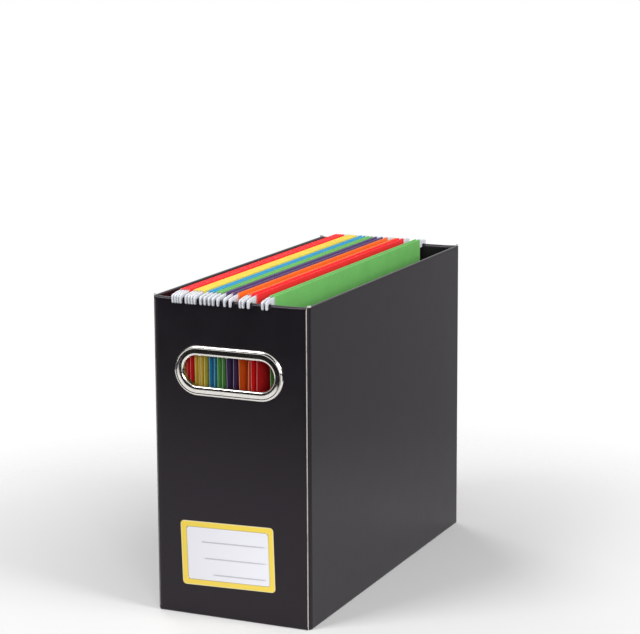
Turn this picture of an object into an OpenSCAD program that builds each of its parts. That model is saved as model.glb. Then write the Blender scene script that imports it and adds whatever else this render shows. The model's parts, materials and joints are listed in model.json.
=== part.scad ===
// Portable file box of folded, laminated paperboard, open at the top, with a
// metal-rimmed finger slot in each end wall and hanging folders on its rims.
// Millimetres. The origin is the middle of the base's underside; the front wall,
// with the label, faces -Y, and +Z is up.

/* [Box] */
// Outside width, across the front
box_w = 133; // [125:1:145]
// Outside depth, front face to rear face: this sets the spacing of the two rims
box_d = 314; // [312:0.5:316]
// Height of the side walls' rolled rims
box_h = 252; // [248:1:265]
// How far the front and rear rims sit below the side rims
end_drop = 0.5; // [0:0.5:3]
// Thickness of the board
board_t = 1.5; // [1.2:0.1:1.8]
// Outside radius of the upright corner folds
corner_r = 2.3; // [2:0.1:3]

/* [Rims and tabs] */
// Depth of the flap that each rim turns down inside
flap_h = 29; // [20:1:32]
// Corner cut at the bottom of each flap
flap_cut = 4; // [2:0.5:8]
// Free slit between two flaps in a corner
flap_slit = 0.7; // [0.4:0.1:1.5]
// Width of the upper part of a corner tab
tab_w = 21; // [16:1:24]
// Width of the lower part of a corner tab
tab_foot_w = 10; // [6:1:14]
// Height where the corner tab begins to narrow
tab_knee_z = 215; // [180:1:220]

/* [Finger slots] */
// Width of the metal ring, outside
ring_w = 93; // [84:1:98]
// Height of the metal ring, outside
ring_h = 39.5; // [36:0.5:44]
// Width of the ring's polished face
ring_face = 8; // [6:0.5:9]
// How far the ring stands out of the board
ring_rise = 2.4; // [2:0.1:3]
// Height of the ring's centre
ring_z = 196; // [180:0.5:198]
// Sideways offset of the slot from the middle of its wall
ring_shift = -1; // [-4:0.5:4]

/* [Label] */
// Width of the label
label_w = 80; // [60:1:90]
// Height of the label
label_h = 51.5; // [35:0.5:60]
// Radius of the label's corners
label_r = 3; // [1:0.5:6]
// Height of the label's centre
label_z = 51; // [35:1:80]
// Sideways offset of the label's centre
label_shift = -4; // [-12:0.5:12]
// Tilt of the label, stuck on by hand, in degrees
label_tilt = 1.7; // [-3:0.1:3]

/* [Hanging folders] */
// Width of a folder's sheet, front to rear
sheet_w = 292; // [286:1:296]
// Thickness of the sheet
sheet_t = 0.4; // [0.3:0.05:0.5]
// Height of a hanging folder, top of hem to crease
folder_h = 235; // [225:1:238]
// Height of the hem folded over the rod
hem_h = 16; // [12:1:20]
// Thickness of the steel strip inside the hem
strip_t = 0.8; // [0.6:0.1:1]
// Height of the steel strip
strip_h = 7; // [6:0.5:8]
// Thickness of the coated hook at each end of a rod
hook_t = 1.3; // [1:0.1:1.5]
// Width of the hook's outer leg
hook_leg = 3.3; // [2.5:0.1:4]
// How far the hook's leg reaches below the rod's top
hook_drop = 8.2; // [7:0.1:10]
// Height of the hook's bar where it crosses the rim
hook_bar = 3.9; // [3:0.1:4.5]

/* [Hidden] */
$fn = 64;
cut = 1; // overshoot of cutting solids

// Board: the end walls sandwich the side walls' corner tabs, so their rims are thicker
end_top = box_h - end_drop;
side_rim = 2 * board_t;
end_rim = 3 * board_t;
end_len = box_w - 2 * corner_r;
side_len = box_d - 2 * (board_t + corner_r);
tab_top = end_top - end_rim / 2 - 0.4; // the tab lies under the end wall's rim
fold_top = box_h - side_rim / 2; // the corner fold reaches the side wall's rim

// Finger slot: the ring's path is a stadium with its end centres this far from the middle
ring_half = (ring_w - ring_h) / 2;
ring_out = ring_h / 2;
ring_in = ring_out - ring_face;
sleeve_t = 1;
sleeve_out = ring_in + sleeve_t;
slot_gap = 0.2;
clip_t = 1; // the clip ring inside the wall
clip_out = ring_out - 1.5;
curl_t = 0.7; // the sleeve's end, curled over the clip ring
curl_out = sleeve_out + 1;

label_t = 0.3;

// Hanging folders: [left rod, right rod, colour], rods measured from the left outer face
folders = [
    [19.5, 21.8, "red"],
    [24.0, 26.2, "red"],
    [30.9, 33.5, "yellow"],
    [35.9, 38.3, "yellow"],
    [43.4, 46.9, "blue"],
    [50.5, 53.9, "green"],
    [58.0, 63.7, "purple"],
    [68.4, 76.8, "orange"],
    [79.2, 83.6, "red"],
    [95.6, 99.0, "green"]
];
count = len(folders);
// How far the rods' notches sit above the rims, and outside and inside them
rest_gap = 0.5;
notch_gap = 0.5;
crease_gap = 0.5; // between the two leaves at the crease
fold_steps = 8; // straight steps round a hem's top and the turn at the crease
hem_in = strip_t / 2 + 0.05;
hem_out = hem_in + sheet_t;
rod_under = end_top + rest_gap;
rod_top = rod_under + hook_bar;
hem_axis = rod_top - 0.15; // the hem's top is a half ring about this height
hem_low = hem_axis + hem_out - hem_h;
crease_z = hem_axis + hem_out - folder_h;
crease_in = 0.5;
crease_out = crease_in + sheet_t;

LEAVES = ["left", "right"];
PARTS = ["leaf", "rod"];

function sheet_colour(name) =
    name == "red" ? [0.85, 0.12, 0.12] :
    name == "yellow" ? [0.98, 0.85, 0.25] :
    name == "blue" ? [0.20, 0.60, 0.82] :
    name == "green" ? [0.33, 0.66, 0.33] :
    name == "purple" ? [0.38, 0.27, 0.50] : [0.96, 0.36, 0.10];
function rod_x(i, side) = folders[i - 1][side] - box_w / 2;
function crease_x(i) = (rod_x(i, 0) + rod_x(i, 1)) / 2;

// ---- Board panels. Each is drawn as a front panel, its outer face toward -Y ----

// Section of a wall: u is the depth from the outer face, v the height
module wall_section(top, rim) {
    translate([0, board_t])
        square([board_t, top - board_t - rim / 2]);
    // the fold where the wall turns up from the base
    intersection() {
        translate([board_t, board_t]) circle(board_t);
        square(board_t);
    }
    // the rolled rim
    intersection() {
        translate([rim / 2, top - rim / 2]) circle(rim / 2);
        translate([0, top - rim / 2]) square([rim, rim]);
    }
}

module wall(length, face, top, rim)
    translate([-length / 2, -face, 0])
        rotate([90, 0, 90]) linear_extrude(length) wall_section(top, rim);

module rim_flap(length, face, top, rim) {
    low = top - flap_h;
    high = top - rim / 2;
    half = length / 2;
    translate([0, -face + rim, 0])
        rotate([90, 0, 0]) linear_extrude(board_t)
            polygon([
                [-half + flap_cut, low], [half - flap_cut, low], [half, low + flap_cut],
                [half, high], [-half, high], [-half, low + flap_cut]
            ]);
}

// Corner fold and tab of the right wall, at the front: the tab lies behind the front wall
module corner_tab() {
    fold_x = box_w / 2 - corner_r;
    fold_y = -box_d / 2 + board_t + corner_r;
    taper = (tab_w - tab_foot_w) * 1.3;
    translate([fold_x, fold_y, 0]) linear_extrude(fold_top)
        difference() {
            intersection() {
                circle(corner_r);
                translate([0, -corner_r]) square(corner_r);
            }
            circle(corner_r - board_t);
        }
    translate([fold_x, fold_y - corner_r + board_t, 0])
        rotate([90, 0, 0]) linear_extrude(board_t)
            polygon([
                [0, board_t], [0, tab_top], [-tab_w, tab_top], [-tab_w, tab_knee_z],
                [-tab_foot_w, tab_knee_z - taper], [-tab_foot_w, board_t]
            ]);
}

module stadium(half, r) {
    square([2 * half, 2 * r], center = true);
    for (side = [-1, 1]) translate([side * half, 0]) circle(r);
}

module end_wall() color([0.12, 0.12, 0.13])
    difference() {
        wall(end_len, box_d / 2, end_top, end_rim);
        translate([ring_shift, -box_d / 2 + board_t + cut, ring_z])
            rotate([90, 0, 0]) linear_extrude(board_t + 2 * cut)
                stadium(ring_half, sleeve_out + slot_gap);
    }

module side_wall() color([0.17, 0.17, 0.18])
    wall(side_len, box_w / 2, box_h, side_rim);

module end_flap() color([0.10, 0.10, 0.11])
    rim_flap(box_w - 2 * (side_rim + flap_slit), box_d / 2, end_top, end_rim);

module side_flap() color([0.11, 0.11, 0.12])
    rim_flap(box_d - 2 * (end_rim + flap_slit), box_w / 2, box_h, side_rim);

module tab() color([0.92, 0.91, 0.89]) corner_tab();

module base_panel() color([0.14, 0.14, 0.15])
    translate([-box_w / 2 + board_t, -box_d / 2 + board_t, 0])
        cube([box_w - 2 * board_t, box_d - 2 * board_t, board_t]);

// ---- Metal rings: a section (distance from the path, height off the board) swept
// round a stadium. The ring's sleeve passes through the slot and curls over the clip ring ----

module stadium_sweep()
    for (turn = [0, 180]) rotate([0, 0, turn]) {
        translate([ring_half, 0, 0])
            rotate([0, 0, -90]) rotate_extrude(angle = 180) children();
        translate([ring_half, 0, 0])
            rotate([90, 0, -90]) linear_extrude(2 * ring_half) children();
    }

module ring_section() {
    outer_r = 1.6;
    inner_r = 1.8;
    // outer shoulder
    intersection() {
        translate([ring_out - outer_r, ring_rise - outer_r]) circle(outer_r);
        translate([ring_out - outer_r, 0]) square([outer_r, ring_rise]);
    }
    translate([ring_out - outer_r, 0]) square([outer_r, ring_rise - outer_r]);
    // face
    translate([ring_in + inner_r, 0])
        square([ring_face - outer_r - inner_r, ring_rise]);
    // inner shoulder, rolling into the slot
    intersection() {
        translate([ring_in + inner_r, ring_rise - inner_r]) circle(inner_r);
        translate([ring_in, 0]) square([inner_r, ring_rise]);
    }
    translate([ring_in, 0]) square([inner_r, ring_rise - inner_r]);
    // sleeve and its curled end
    translate([ring_in, -board_t - clip_t - curl_t])
        square([sleeve_t, board_t + clip_t + curl_t]);
    translate([ring_in, -board_t - clip_t - curl_t])
        square([curl_out - ring_in, curl_t]);
}

module clip_section()
    translate([sleeve_out, -board_t - clip_t])
        square([clip_out - sleeve_out, clip_t]);

module on_end_wall()
    translate([ring_shift, -box_d / 2, ring_z]) rotate([90, 0, 0]) children();

module handle_ring() color([0.80, 0.80, 0.82])
    on_end_wall() stadium_sweep() ring_section();

module clip_ring() color([0.72, 0.70, 0.66])
    on_end_wall() stadium_sweep() clip_section();

module label() color([0.99, 0.85, 0.28])
    translate([label_shift, -box_d / 2, label_z])
        rotate([90, -label_tilt, 0]) linear_extrude(label_t) {
            square([label_w - 2 * label_r, label_h], center = true);
            square([label_w, label_h - 2 * label_r], center = true);
            for (x = [-1, 1], y = [-1, 1])
                translate([x * (label_w / 2 - label_r), y * (label_h / 2 - label_r)])
                    circle(label_r);
        }

// ---- Hanging folders. A right leaf is drawn about its rod; a left leaf is its mirror ----

function arc(r, from, to) =
    [for (k = [0:fold_steps]) let (a = from + (to - from) * k / fold_steps) r * [cos(a), sin(a)]];
function shifted(points, by) = [for (p = points) p + by];

// lean is how far the crease lies inward of the rod, and foot is the sheet's lower end,
// as points about the crease, from its inner face to its outer one
module leaf_section(lean, foot)
    polygon(concat(
        shifted(arc(hem_out, 0, 180), [0, hem_axis]),
        [[-hem_out, hem_low], [-hem_in, hem_low]],
        shifted(arc(hem_in, 180, 0), [0, hem_axis]),
        [[hem_in, hem_low]],
        shifted(foot, [-lean, crease_z]),
        [[hem_out, hem_low]]
    ));

module along_sheet()
    translate([0, sheet_w / 2, 0]) rotate([90, 0, 0]) linear_extrude(sheet_w) children();

// the right leaf stops just above the crease, and the left leaf carries the turn there
RIGHT_FOOT = [[crease_in, crease_gap], [crease_out, crease_gap]];
LEFT_FOOT = concat(arc(crease_in, 0, -180), arc(crease_out, -180, 0));

module right_leaf(i) color(sheet_colour(folders[i - 1][2]))
    translate([rod_x(i, 1), 0, 0]) along_sheet()
        leaf_section(rod_x(i, 1) - crease_x(i), RIGHT_FOOT);

module left_leaf(i) color(sheet_colour(folders[i - 1][2]))
    translate([rod_x(i, 0), 0, 0]) along_sheet()
        mirror([1, 0]) leaf_section(crease_x(i) - rod_x(i, 0), LEFT_FOOT);

// Hook at the front end, in depth and height: a notch that sits over the end wall's rim
module hook_section() {
    outer = -box_d / 2 - notch_gap - hook_leg;
    inner = -box_d / 2 + end_rim + notch_gap;
    paper = -sheet_w / 2 - 0.4;
    tip_r = hook_leg / 2;
    top_r = 2;
    leg_low = rod_top - hook_drop + tip_r;
    translate([outer, leg_low]) square([hook_leg, rod_top - top_r - leg_low]);
    translate([outer + tip_r, leg_low]) circle(tip_r);
    translate([outer + top_r, rod_top - top_r]) circle(top_r);
    translate([outer + top_r, rod_under]) square([paper - outer - top_r, rod_top - rod_under]);
    translate([inner, rod_top - strip_h]) square([paper - inner, strip_h]);
}

module rod_at(x) color([0.93, 0.94, 0.97]) translate([x, 0, 0]) {
    for (turn = [0, 180]) rotate([0, 0, turn])
        translate([-hook_t / 2, 0, 0]) rotate([90, 0, 90])
            linear_extrude(hook_t) hook_section();
    translate([-strip_t / 2, -sheet_w / 2 - 1, rod_top - strip_h])
        cube([strip_t, sheet_w + 2, strip_h]);
}

// ---- The parts ----

base_panel();
end_wall();  // front_wall
rotate([0, 0, 180]) end_wall();  // rear_wall
rotate([0, 0, -90]) side_wall();  // left_wall
rotate([0, 0, 90]) side_wall();  // right_wall
end_flap();  // front_rim_flap
rotate([0, 0, 180]) end_flap();  // rear_rim_flap
rotate([0, 0, -90]) side_flap();  // left_rim_flap
rotate([0, 0, 90]) side_flap();  // right_rim_flap
mirror([1, 0, 0]) tab();  // left_front_tab
tab();  // right_front_tab
rotate([0, 0, 180]) tab();  // left_rear_tab
mirror([0, 1, 0]) tab();  // right_rear_tab
handle_ring();  // front_handle_ring
rotate([0, 0, 180]) handle_ring();  // rear_handle_ring
clip_ring();  // front_clip_ring
rotate([0, 0, 180]) clip_ring();  // rear_clip_ring
label();
for (i = [1:count]) {
    left_leaf(i);
    right_leaf(i);
    rod_at(rod_x(i, 0));
    rod_at(rod_x(i, 1));
}
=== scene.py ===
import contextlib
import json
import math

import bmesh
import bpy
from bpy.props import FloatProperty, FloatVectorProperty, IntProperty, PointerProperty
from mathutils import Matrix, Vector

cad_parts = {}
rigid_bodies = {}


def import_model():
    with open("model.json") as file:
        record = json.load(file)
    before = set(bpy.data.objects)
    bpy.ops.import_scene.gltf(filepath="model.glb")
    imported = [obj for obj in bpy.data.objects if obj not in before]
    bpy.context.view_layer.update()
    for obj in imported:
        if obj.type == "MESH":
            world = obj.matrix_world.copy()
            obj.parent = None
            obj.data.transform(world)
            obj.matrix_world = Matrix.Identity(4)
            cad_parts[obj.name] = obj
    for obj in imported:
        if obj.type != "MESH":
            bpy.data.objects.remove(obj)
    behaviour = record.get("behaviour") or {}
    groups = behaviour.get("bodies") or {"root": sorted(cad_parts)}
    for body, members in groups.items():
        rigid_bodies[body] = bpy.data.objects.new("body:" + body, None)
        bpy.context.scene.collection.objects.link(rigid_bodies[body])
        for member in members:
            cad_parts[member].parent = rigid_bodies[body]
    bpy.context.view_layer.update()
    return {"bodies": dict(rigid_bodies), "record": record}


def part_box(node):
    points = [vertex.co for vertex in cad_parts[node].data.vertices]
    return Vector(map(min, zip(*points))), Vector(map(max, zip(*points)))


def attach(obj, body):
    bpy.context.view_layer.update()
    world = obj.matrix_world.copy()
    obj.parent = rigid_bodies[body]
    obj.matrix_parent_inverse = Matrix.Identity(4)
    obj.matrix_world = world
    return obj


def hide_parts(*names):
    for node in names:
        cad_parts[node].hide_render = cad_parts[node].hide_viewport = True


bl_info = {
    "name": "Portable File Box",
    "version": (1, 0, 0),
    "blender": (4, 5, 0),
    "location": "View3D > Sidebar > File Box",
    "description": "Dresses a folded paperboard file box, its metal finger rings and its hanging folders",
    "category": "Object",
}

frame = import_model()

MM = 0.001
CLOSE = 0.02 * MM  # two places nearer than this are the same

# Places that several pieces share, from the frame
FRONT_LOW, FRONT_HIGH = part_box("front_wall")
SIDE_LOW, SIDE_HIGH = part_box("right_wall")
BASE_LOW, BASE_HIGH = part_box("base_panel")
BOARD = BASE_HIGH.z  # the board's thickness
END_FACE = -FRONT_LOW.y  # from the middle to an end wall's outer face
SIDE_FACE = SIDE_HIGH.x
END_RIM = FRONT_HIGH.y - FRONT_LOW.y  # a rolled rim's thickness
SIDE_RIM = SIDE_HIGH.x - SIDE_LOW.x
END_TOP = FRONT_HIGH.z
SIDE_TOP = SIDE_HIGH.z
FOLDERS = sum(1 for body in frame["bodies"] if body.endswith("_left_half"))
QUARTER = math.pi / 2
SLEEVE_ROOM = 1.0 * MM  # how far the holes for a sleeve reach past the slot, all round


# ---- Settings ----

def colour(name, description, default):
    return FloatVectorProperty(name=name, description=description, default=default,
                               subtype="COLOR", min=0, max=1, size=3)


def length(name, description, default_mm):
    return FloatProperty(name=name, description=description, default=default_mm * MM,
                         subtype="DISTANCE", unit="LENGTH", precision=5)


class BoardSettings(bpy.types.PropertyGroup):
    laminate: colour("Laminate", "Black laminate outside the box", (0.0078, 0.0062, 0.0088))
    lining: colour("Lining", "White paper inside the box", (0.62, 0.59, 0.56))
    core: colour("Cut edge", "Grey core that shows along cut edges", (0.50, 0.47, 0.43))
    cut_edge: length("Cut edge softness", "Bevel along the board's cut edges", 0.35)
    corner_rise: length("Corner rise", "How far an end wall's rim climbs to meet the side walls", 0.45)
    corner_reach: length("Corner reach", "How far from the corner that climb begins", 14)
    roll_steps: IntProperty(name="Roll steps", description="Steps round a rolled rim", default=10, min=4)
    wall_columns: IntProperty(name="Wall columns", description="Columns of faces along a wall",
                              default=32, min=8)


class RingSettings(bpy.types.PropertyGroup):
    plating: colour("Plating", "Polished plating of the finger rings", (0.80, 0.77, 0.73))
    washer: colour("Washer", "Dull plating of the clip rings inside", (0.56, 0.53, 0.49))
    face: length("Face", "Width of the ring from its outer edge to the slot", 8)
    edge: length("Edge", "Height of the ring's outer edge, below its slope", 1.0)
    slope: length("Slope", "Width of the slope round the face", 1.8)
    slope_rise: length("Slope rise", "Height of the slope's top above the board", 2.1)
    groove: length("Groove", "Width of the groove's step inside the slope", 0.65)
    groove_drop: length("Groove drop", "Depth of that step", 0.25)
    crown: length("Crown", "Distance from the outer edge to where the face levels off", 4.6)
    crown_drop: length("Crown drop", "How far the face there sits below its inner edge", 0.1)
    inner_shoulder: length("Inner shoulder", "Radius of the ring's inner edge", 2.2)
    metal: length("Metal", "Thickness of the pressed metal", 0.6)
    curl: length("Curl", "How far the sleeve's end is turned out over the clip ring", 2.0)
    seam: length("Seam", "Width of the seam at each end of the slot", 0.7)


class LabelSettings(bpy.types.PropertyGroup):
    border: colour("Border", "Yellow border", (0.97, 0.73, 0.095))
    panel: colour("Panel", "White writing panel", (0.89, 0.89, 0.95))
    ink: colour("Ink", "Ink of the printed dots", (0.03, 0.03, 0.045))
    dash: colour("Dash", "Brown of the dashes round the panel", (0.12, 0.08, 0.03))
    width: length("Width", "Width of the label", 80)
    height: length("Height", "Height of the label", 51.5)
    corner: length("Corner", "Radius of the label's corners", 3)
    panel_width: length("Panel width", "Width of the writing panel", 70.6)
    panel_height: length("Panel height", "Height of the writing panel", 42.4)
    panel_shift: length("Panel shift", "How far the panel is printed right of the middle", 0.3)
    panel_corner: length("Panel corner", "How far the panel's corners are clipped", 1.4)
    dot_pitch: length("Dot pitch", "Distance from one printed dot or dash to the next", 2.15)
    tilt: FloatProperty(name="Tilt", description="How far the label is stuck askew",
                        default=math.radians(1.7), subtype="ANGLE", unit="ROTATION")


class FolderSettings(bpy.types.PropertyGroup):
    red: colour("Red", "Red card", (0.95, 0.020, 0.026))
    yellow: colour("Yellow", "Yellow card", (0.93, 0.72, 0.09))
    blue: colour("Blue", "Blue card", (0.04, 0.37, 0.66))
    green: colour("Green", "Green card", (0.17, 0.52, 0.13))
    purple: colour("Purple", "Purple card", (0.105, 0.060, 0.185))
    orange: colour("Orange", "Orange card", (0.93, 0.17, 0.015))
    coat: colour("Hook coat", "White coating of the rods' hooks", (0.80, 0.82, 0.87))
    card: length("Card", "Thickness of the card", 0.4)
    hem: length("Hem", "Height of the hem folded over a rod", 16)
    hem_radius: length("Hem radius", "Outer radius of the card round a rod", 0.85)
    crease_radius: length("Crease radius", "Outer radius of the card's turn at the crease", 0.9)
    wave: length("Wave", "How far the card waves along its length", 0.12)
    wave_length: length("Wave length", "Length of one of those waves, over two pi", 47)
    bar: length("Bar", "Height of a hook where it crosses the rim", 3.9)
    leg: length("Leg", "Width of a hook's outer leg", 3.3)
    soften: length("Soften", "Rounding of a hook's edges", 0.32)


class StageSettings(bpy.types.PropertyGroup):
    lens: FloatProperty(name="Lens", description="Focal length for a 36 mm wide picture",
                        default=120.12, unit="CAMERA", min=20)
    azimuth: FloatProperty(name="Azimuth", description="Camera's turn to the right of the front",
                           default=math.radians(23.04), subtype="ANGLE", unit="ROTATION")
    elevation: FloatProperty(name="Elevation", description="Camera's angle above the horizon",
                             default=math.radians(10.153), subtype="ANGLE", unit="ROTATION")
    place: FloatVectorProperty(name="Camera place", description="Where the camera stands",
                               default=(0.72568, -1.57263, 0.55560), subtype="TRANSLATION", size=3)
    shift: FloatVectorProperty(name="Shift", description="Lens shift, as shares of the picture's width",
                               default=(-0.0930, -0.0640), size=2)
    floor: colour("Floor", "Pale floor", (0.93, 0.93, 0.93))
    fill: FloatProperty(name="Fill", description="Strength of the even light from all round", default=0.2,
                        min=0, max=1)


# ---- Modelling by hand, in code ----

def deselect_all():
    if bpy.context.mode != "OBJECT":
        bpy.ops.object.mode_set(mode="OBJECT")
    bpy.ops.object.select_all(action="DESELECT")


def make_active(piece):
    deselect_all()
    piece.select_set(True)
    bpy.context.view_layer.objects.active = piece


def rename(name):
    piece = bpy.context.object
    piece.name = name
    piece.data.name = name
    return piece


def apply_transform(piece):
    make_active(piece)
    bpy.ops.object.transform_apply(location=True, rotation=True, scale=True)


def block(name, low, high):
    """Adds a box between two corners."""
    deselect_all()
    low, high = Vector(low), Vector(high)
    bpy.ops.mesh.primitive_cube_add(size=1, location=(low + high) / 2)
    piece = rename(name)
    piece.scale = high - low
    apply_transform(piece)
    return piece


@contextlib.contextmanager
def editing(piece):
    make_active(piece)
    bpy.ops.object.mode_set(mode="EDIT")
    yield
    bpy.ops.object.mode_set(mode="OBJECT")


def middle(part):
    """Centre of a vertex, edge or face."""
    if isinstance(part, bmesh.types.BMVert):
        return part.co
    return sum((v.co for v in part.verts), Vector()) / len(part.verts)


def pick(piece, kind, test):
    """Selects only the vertices, edges or faces that pass a test, in edit mode."""
    bpy.ops.mesh.select_mode(type=kind)
    mesh = bmesh.from_edit_mesh(piece.data)
    groups = {"VERT": mesh.verts, "EDGE": mesh.edges, "FACE": mesh.faces}
    for group in groups.values():
        for part in group:
            part.select = False
    chosen = [part for part in groups[kind] if test(part)]
    if not chosen:
        raise RuntimeError(f"{piece.name}: no {kind.lower()} passes the test")
    for part in chosen:
        part.select_set(True)
    mesh.select_flush_mode()
    bmesh.update_edit_mesh(piece.data)


def near(a, b):
    return abs(a - b) < CLOSE


def along(edge, axis):
    """Whether an edge runs along axis 0, 1 or 2."""
    run = edge.verts[1].co - edge.verts[0].co
    return abs(run[axis]) > 0.99 * run.length


def extrude(by):
    bpy.ops.mesh.extrude_region_move(TRANSFORM_OT_translate={"value": by})


def spin(angle, steps, centre, axis):
    """Spins the selection by the right-hand rule; the operator itself turns the other way."""
    bpy.ops.mesh.spin(steps=steps, angle=-angle, center=centre, axis=axis)


def bevel(width, steps, affect="EDGES"):
    bpy.ops.mesh.bevel(offset=width, segments=steps, profile=0.5, affect=affect)


def cut_level(height):
    """Cuts the whole mesh through at a height, and keeps both sides."""
    bpy.ops.mesh.select_all(action="SELECT")
    bpy.ops.mesh.bisect(plane_co=(0, 0, height), plane_no=(0, 0, 1))


def merge_close():
    bpy.ops.mesh.select_all(action="SELECT")
    bpy.ops.mesh.remove_doubles(threshold=CLOSE / 4)
    bpy.ops.mesh.normals_make_consistent(inside=False)


def face_outwards(piece):
    with editing(piece):
        bpy.ops.mesh.select_all(action="SELECT")
        bpy.ops.mesh.normals_make_consistent(inside=False)


def apply_modifier(piece, kind, **settings):
    make_active(piece)
    modifier = piece.modifiers.new(kind.title(), kind)
    for name, value in settings.items():
        setattr(modifier, name, value)
    bpy.ops.object.modifier_apply(modifier=modifier.name)


def smooth(piece, degrees=35):
    make_active(piece)
    bpy.ops.object.shade_smooth_by_angle(angle=math.radians(degrees))


def turned(piece, turn):
    """Turns a piece about the box's upright axis, and keeps the turn in its mesh."""
    piece.rotation_euler = (0, 0, turn)
    apply_transform(piece)
    return piece


def copy_of(piece, name):
    """A copy with its own mesh."""
    new = piece.copy()
    new.data = piece.data.copy()
    new.name = name
    new.data.name = name
    bpy.context.collection.objects.link(new)
    return new


def mirrored(piece, name, scale):
    """A mirrored copy with its faces still outward."""
    new = copy_of(piece, name)
    new.scale = scale
    apply_transform(new)
    face_outwards(new)
    return new


def paint(piece, materials, choose):
    """Gives each face the material whose place in the list choose(face) returns."""
    piece.data.materials.clear()
    for material in materials:
        piece.data.materials.append(material)
    for face in piece.data.polygons:
        face.material_index = choose(face)


def dress(piece, node, body, slot):
    """Ends a piece: it rides on a body and stands for a node. The slot is not used."""
    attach(piece, body)
    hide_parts(node)


# ---- Materials ----

class Nodes:
    """The node tree of a material or a world, emptied, and short ways to fill it."""

    def __init__(self, owner):
        owner.use_nodes = True
        self.tree = owner.node_tree
        self.tree.nodes.clear()

    def link(self, source, target):
        self.tree.links.new(source, target)

    def node(self, kind, inputs=None, **settings):
        """Adds a node. Inputs are values or other nodes' outputs, by name or by number."""
        new = self.tree.nodes.new(kind)
        for name, value in settings.items():
            setattr(new, name, value)
        for name, value in (inputs or {}).items():
            if isinstance(value, bpy.types.NodeSocket):
                self.link(value, new.inputs[name])
            else:
                new.inputs[name].default_value = value
        return new

    def math(self, operation, a, b=0.0):
        return self.node("ShaderNodeMath", {0: a, 1: b}, operation=operation).outputs[0]

    def ramp(self, value, low, high, start, end):
        """Maps value's range low to high onto start to end, and holds it there."""
        return self.node("ShaderNodeMapRange", {"Value": value, "From Min": low, "From Max": high,
                                                "To Min": start, "To Max": end}).outputs["Result"]


class Finish(Nodes):
    """A procedural material on object coordinates."""

    def __init__(self, name):
        self.material = bpy.data.materials.new(name)
        super().__init__(self.material)
        output = self.node("ShaderNodeOutputMaterial")
        self.shader = self.node("ShaderNodeBsdfPrincipled")
        self.link(self.shader.outputs["BSDF"], output.inputs["Surface"])
        self.place = self.node("ShaderNodeTexCoord").outputs["Object"]

    def set(self, **values):
        """Sets the shader's sockets, such as Roughness=0.4, with _ for a space."""
        for name, value in values.items():
            socket = self.shader.inputs[name.replace("_", " ")]
            if isinstance(value, bpy.types.NodeSocket):
                self.link(value, socket)
            else:
                socket.default_value = value

    def stretched(self, scale, location=(0, 0, 0), rotation=(0, 0, 0)):
        """Object coordinates moved, turned and scaled."""
        return self.node("ShaderNodeMapping", {"Vector": self.place, "Scale": scale, "Location": location,
                                               "Rotation": rotation}).outputs["Vector"]

    def noise(self, scale, detail=3.0, rough=0.5, vector=None):
        """A noise from 0 to 1, with scale in waves to the metre."""
        return self.node("ShaderNodeTexNoise", {"Vector": vector or self.place, "Scale": scale,
                                                "Detail": detail, "Roughness": rough}).outputs["Fac"]

    def mix(self, share, a, b):
        """Mixes two colours, given as colours or outputs."""
        new = self.node("ShaderNodeMix", {"Factor": share}, data_type="RGBA")
        for socket, value in ((new.inputs[6], a), (new.inputs[7], b)):
            if isinstance(value, bpy.types.NodeSocket):
                self.link(value, socket)
            else:
                socket.default_value = (*value[:3], 1.0)
        return new.outputs[2]

    def bump(self, height, strength, depth, normal=None):
        inputs = {"Height": height, "Strength": strength, "Distance": depth}
        if normal:
            inputs["Normal"] = normal
        return self.node("ShaderNodeBump", inputs).outputs["Normal"]


def shade(rgb, factor):
    return tuple(min(1.0, c * factor) for c in rgb)


def laminate_finish(settings):
    """Black satin film over board: fibres show through it, it waves a little, and handling dulls it."""
    f = Finish("black_laminate")
    waves = f.noise(9, 1)
    grain = f.noise(900, 4, 0.6)
    smudges = f.noise(38, 5, 0.62)
    normal = f.bump(waves, 0.2, 0.9 * MM)
    normal = f.bump(grain, 0.16, 0.06 * MM, normal)
    tint = f.mix(f.ramp(smudges, 0.35, 0.75, 0, 1), settings.laminate, shade(settings.laminate, 1.25))
    f.set(Base_Color=tint, Roughness=f.ramp(smudges, 0.3, 0.7, 0.29, 0.34), Normal=normal,
          IOR=1.4, Specular_Tint=(1.0, 0.9, 1.0, 1.0))
    return f.material


def lining_finish(settings):
    """Uncoated white paper with faint fibres."""
    f = Finish("white_lining")
    fibres = f.noise(1, 5, 0.65, f.stretched((420, 420, 1300)))
    clouds = f.noise(22, 3)
    tone = f.mix(f.ramp(clouds, 0.3, 0.7, 0, 0.35), settings.lining, shade(settings.lining, 0.9))
    tone = f.mix(f.ramp(fibres, 0.45, 0.8, 0, 0.25), tone, shade(settings.lining, 0.78))
    f.set(Base_Color=tone, Roughness=0.72, Normal=f.bump(fibres, 0.3, 0.05 * MM))
    return f.material


def core_finish(settings):
    """Cut board: thin pressed plies of grey pulp."""
    f = Finish("board_core")
    plies = f.noise(1, 2, 0.5, f.stretched((2600, 2600, 160)))
    pulp = f.noise(1500, 4, 0.7)
    tone = f.mix(plies, shade(settings.core, 0.72), shade(settings.core, 1.3))
    tone = f.mix(f.ramp(pulp, 0.5, 0.8, 0, 0.5), tone, shade(settings.core, 0.55))
    # here and there the laminate still reaches over the edge
    worn = f.noise(1, 4, 0.65, f.stretched((300, 300, 38)))
    tone = f.mix(f.ramp(worn, 0.54, 0.66, 0, 0.8), tone, shade(settings.core, 0.12))
    f.set(Base_Color=tone, Roughness=0.85, Normal=f.bump(pulp, 0.5, 0.08 * MM))
    return f.material


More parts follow.
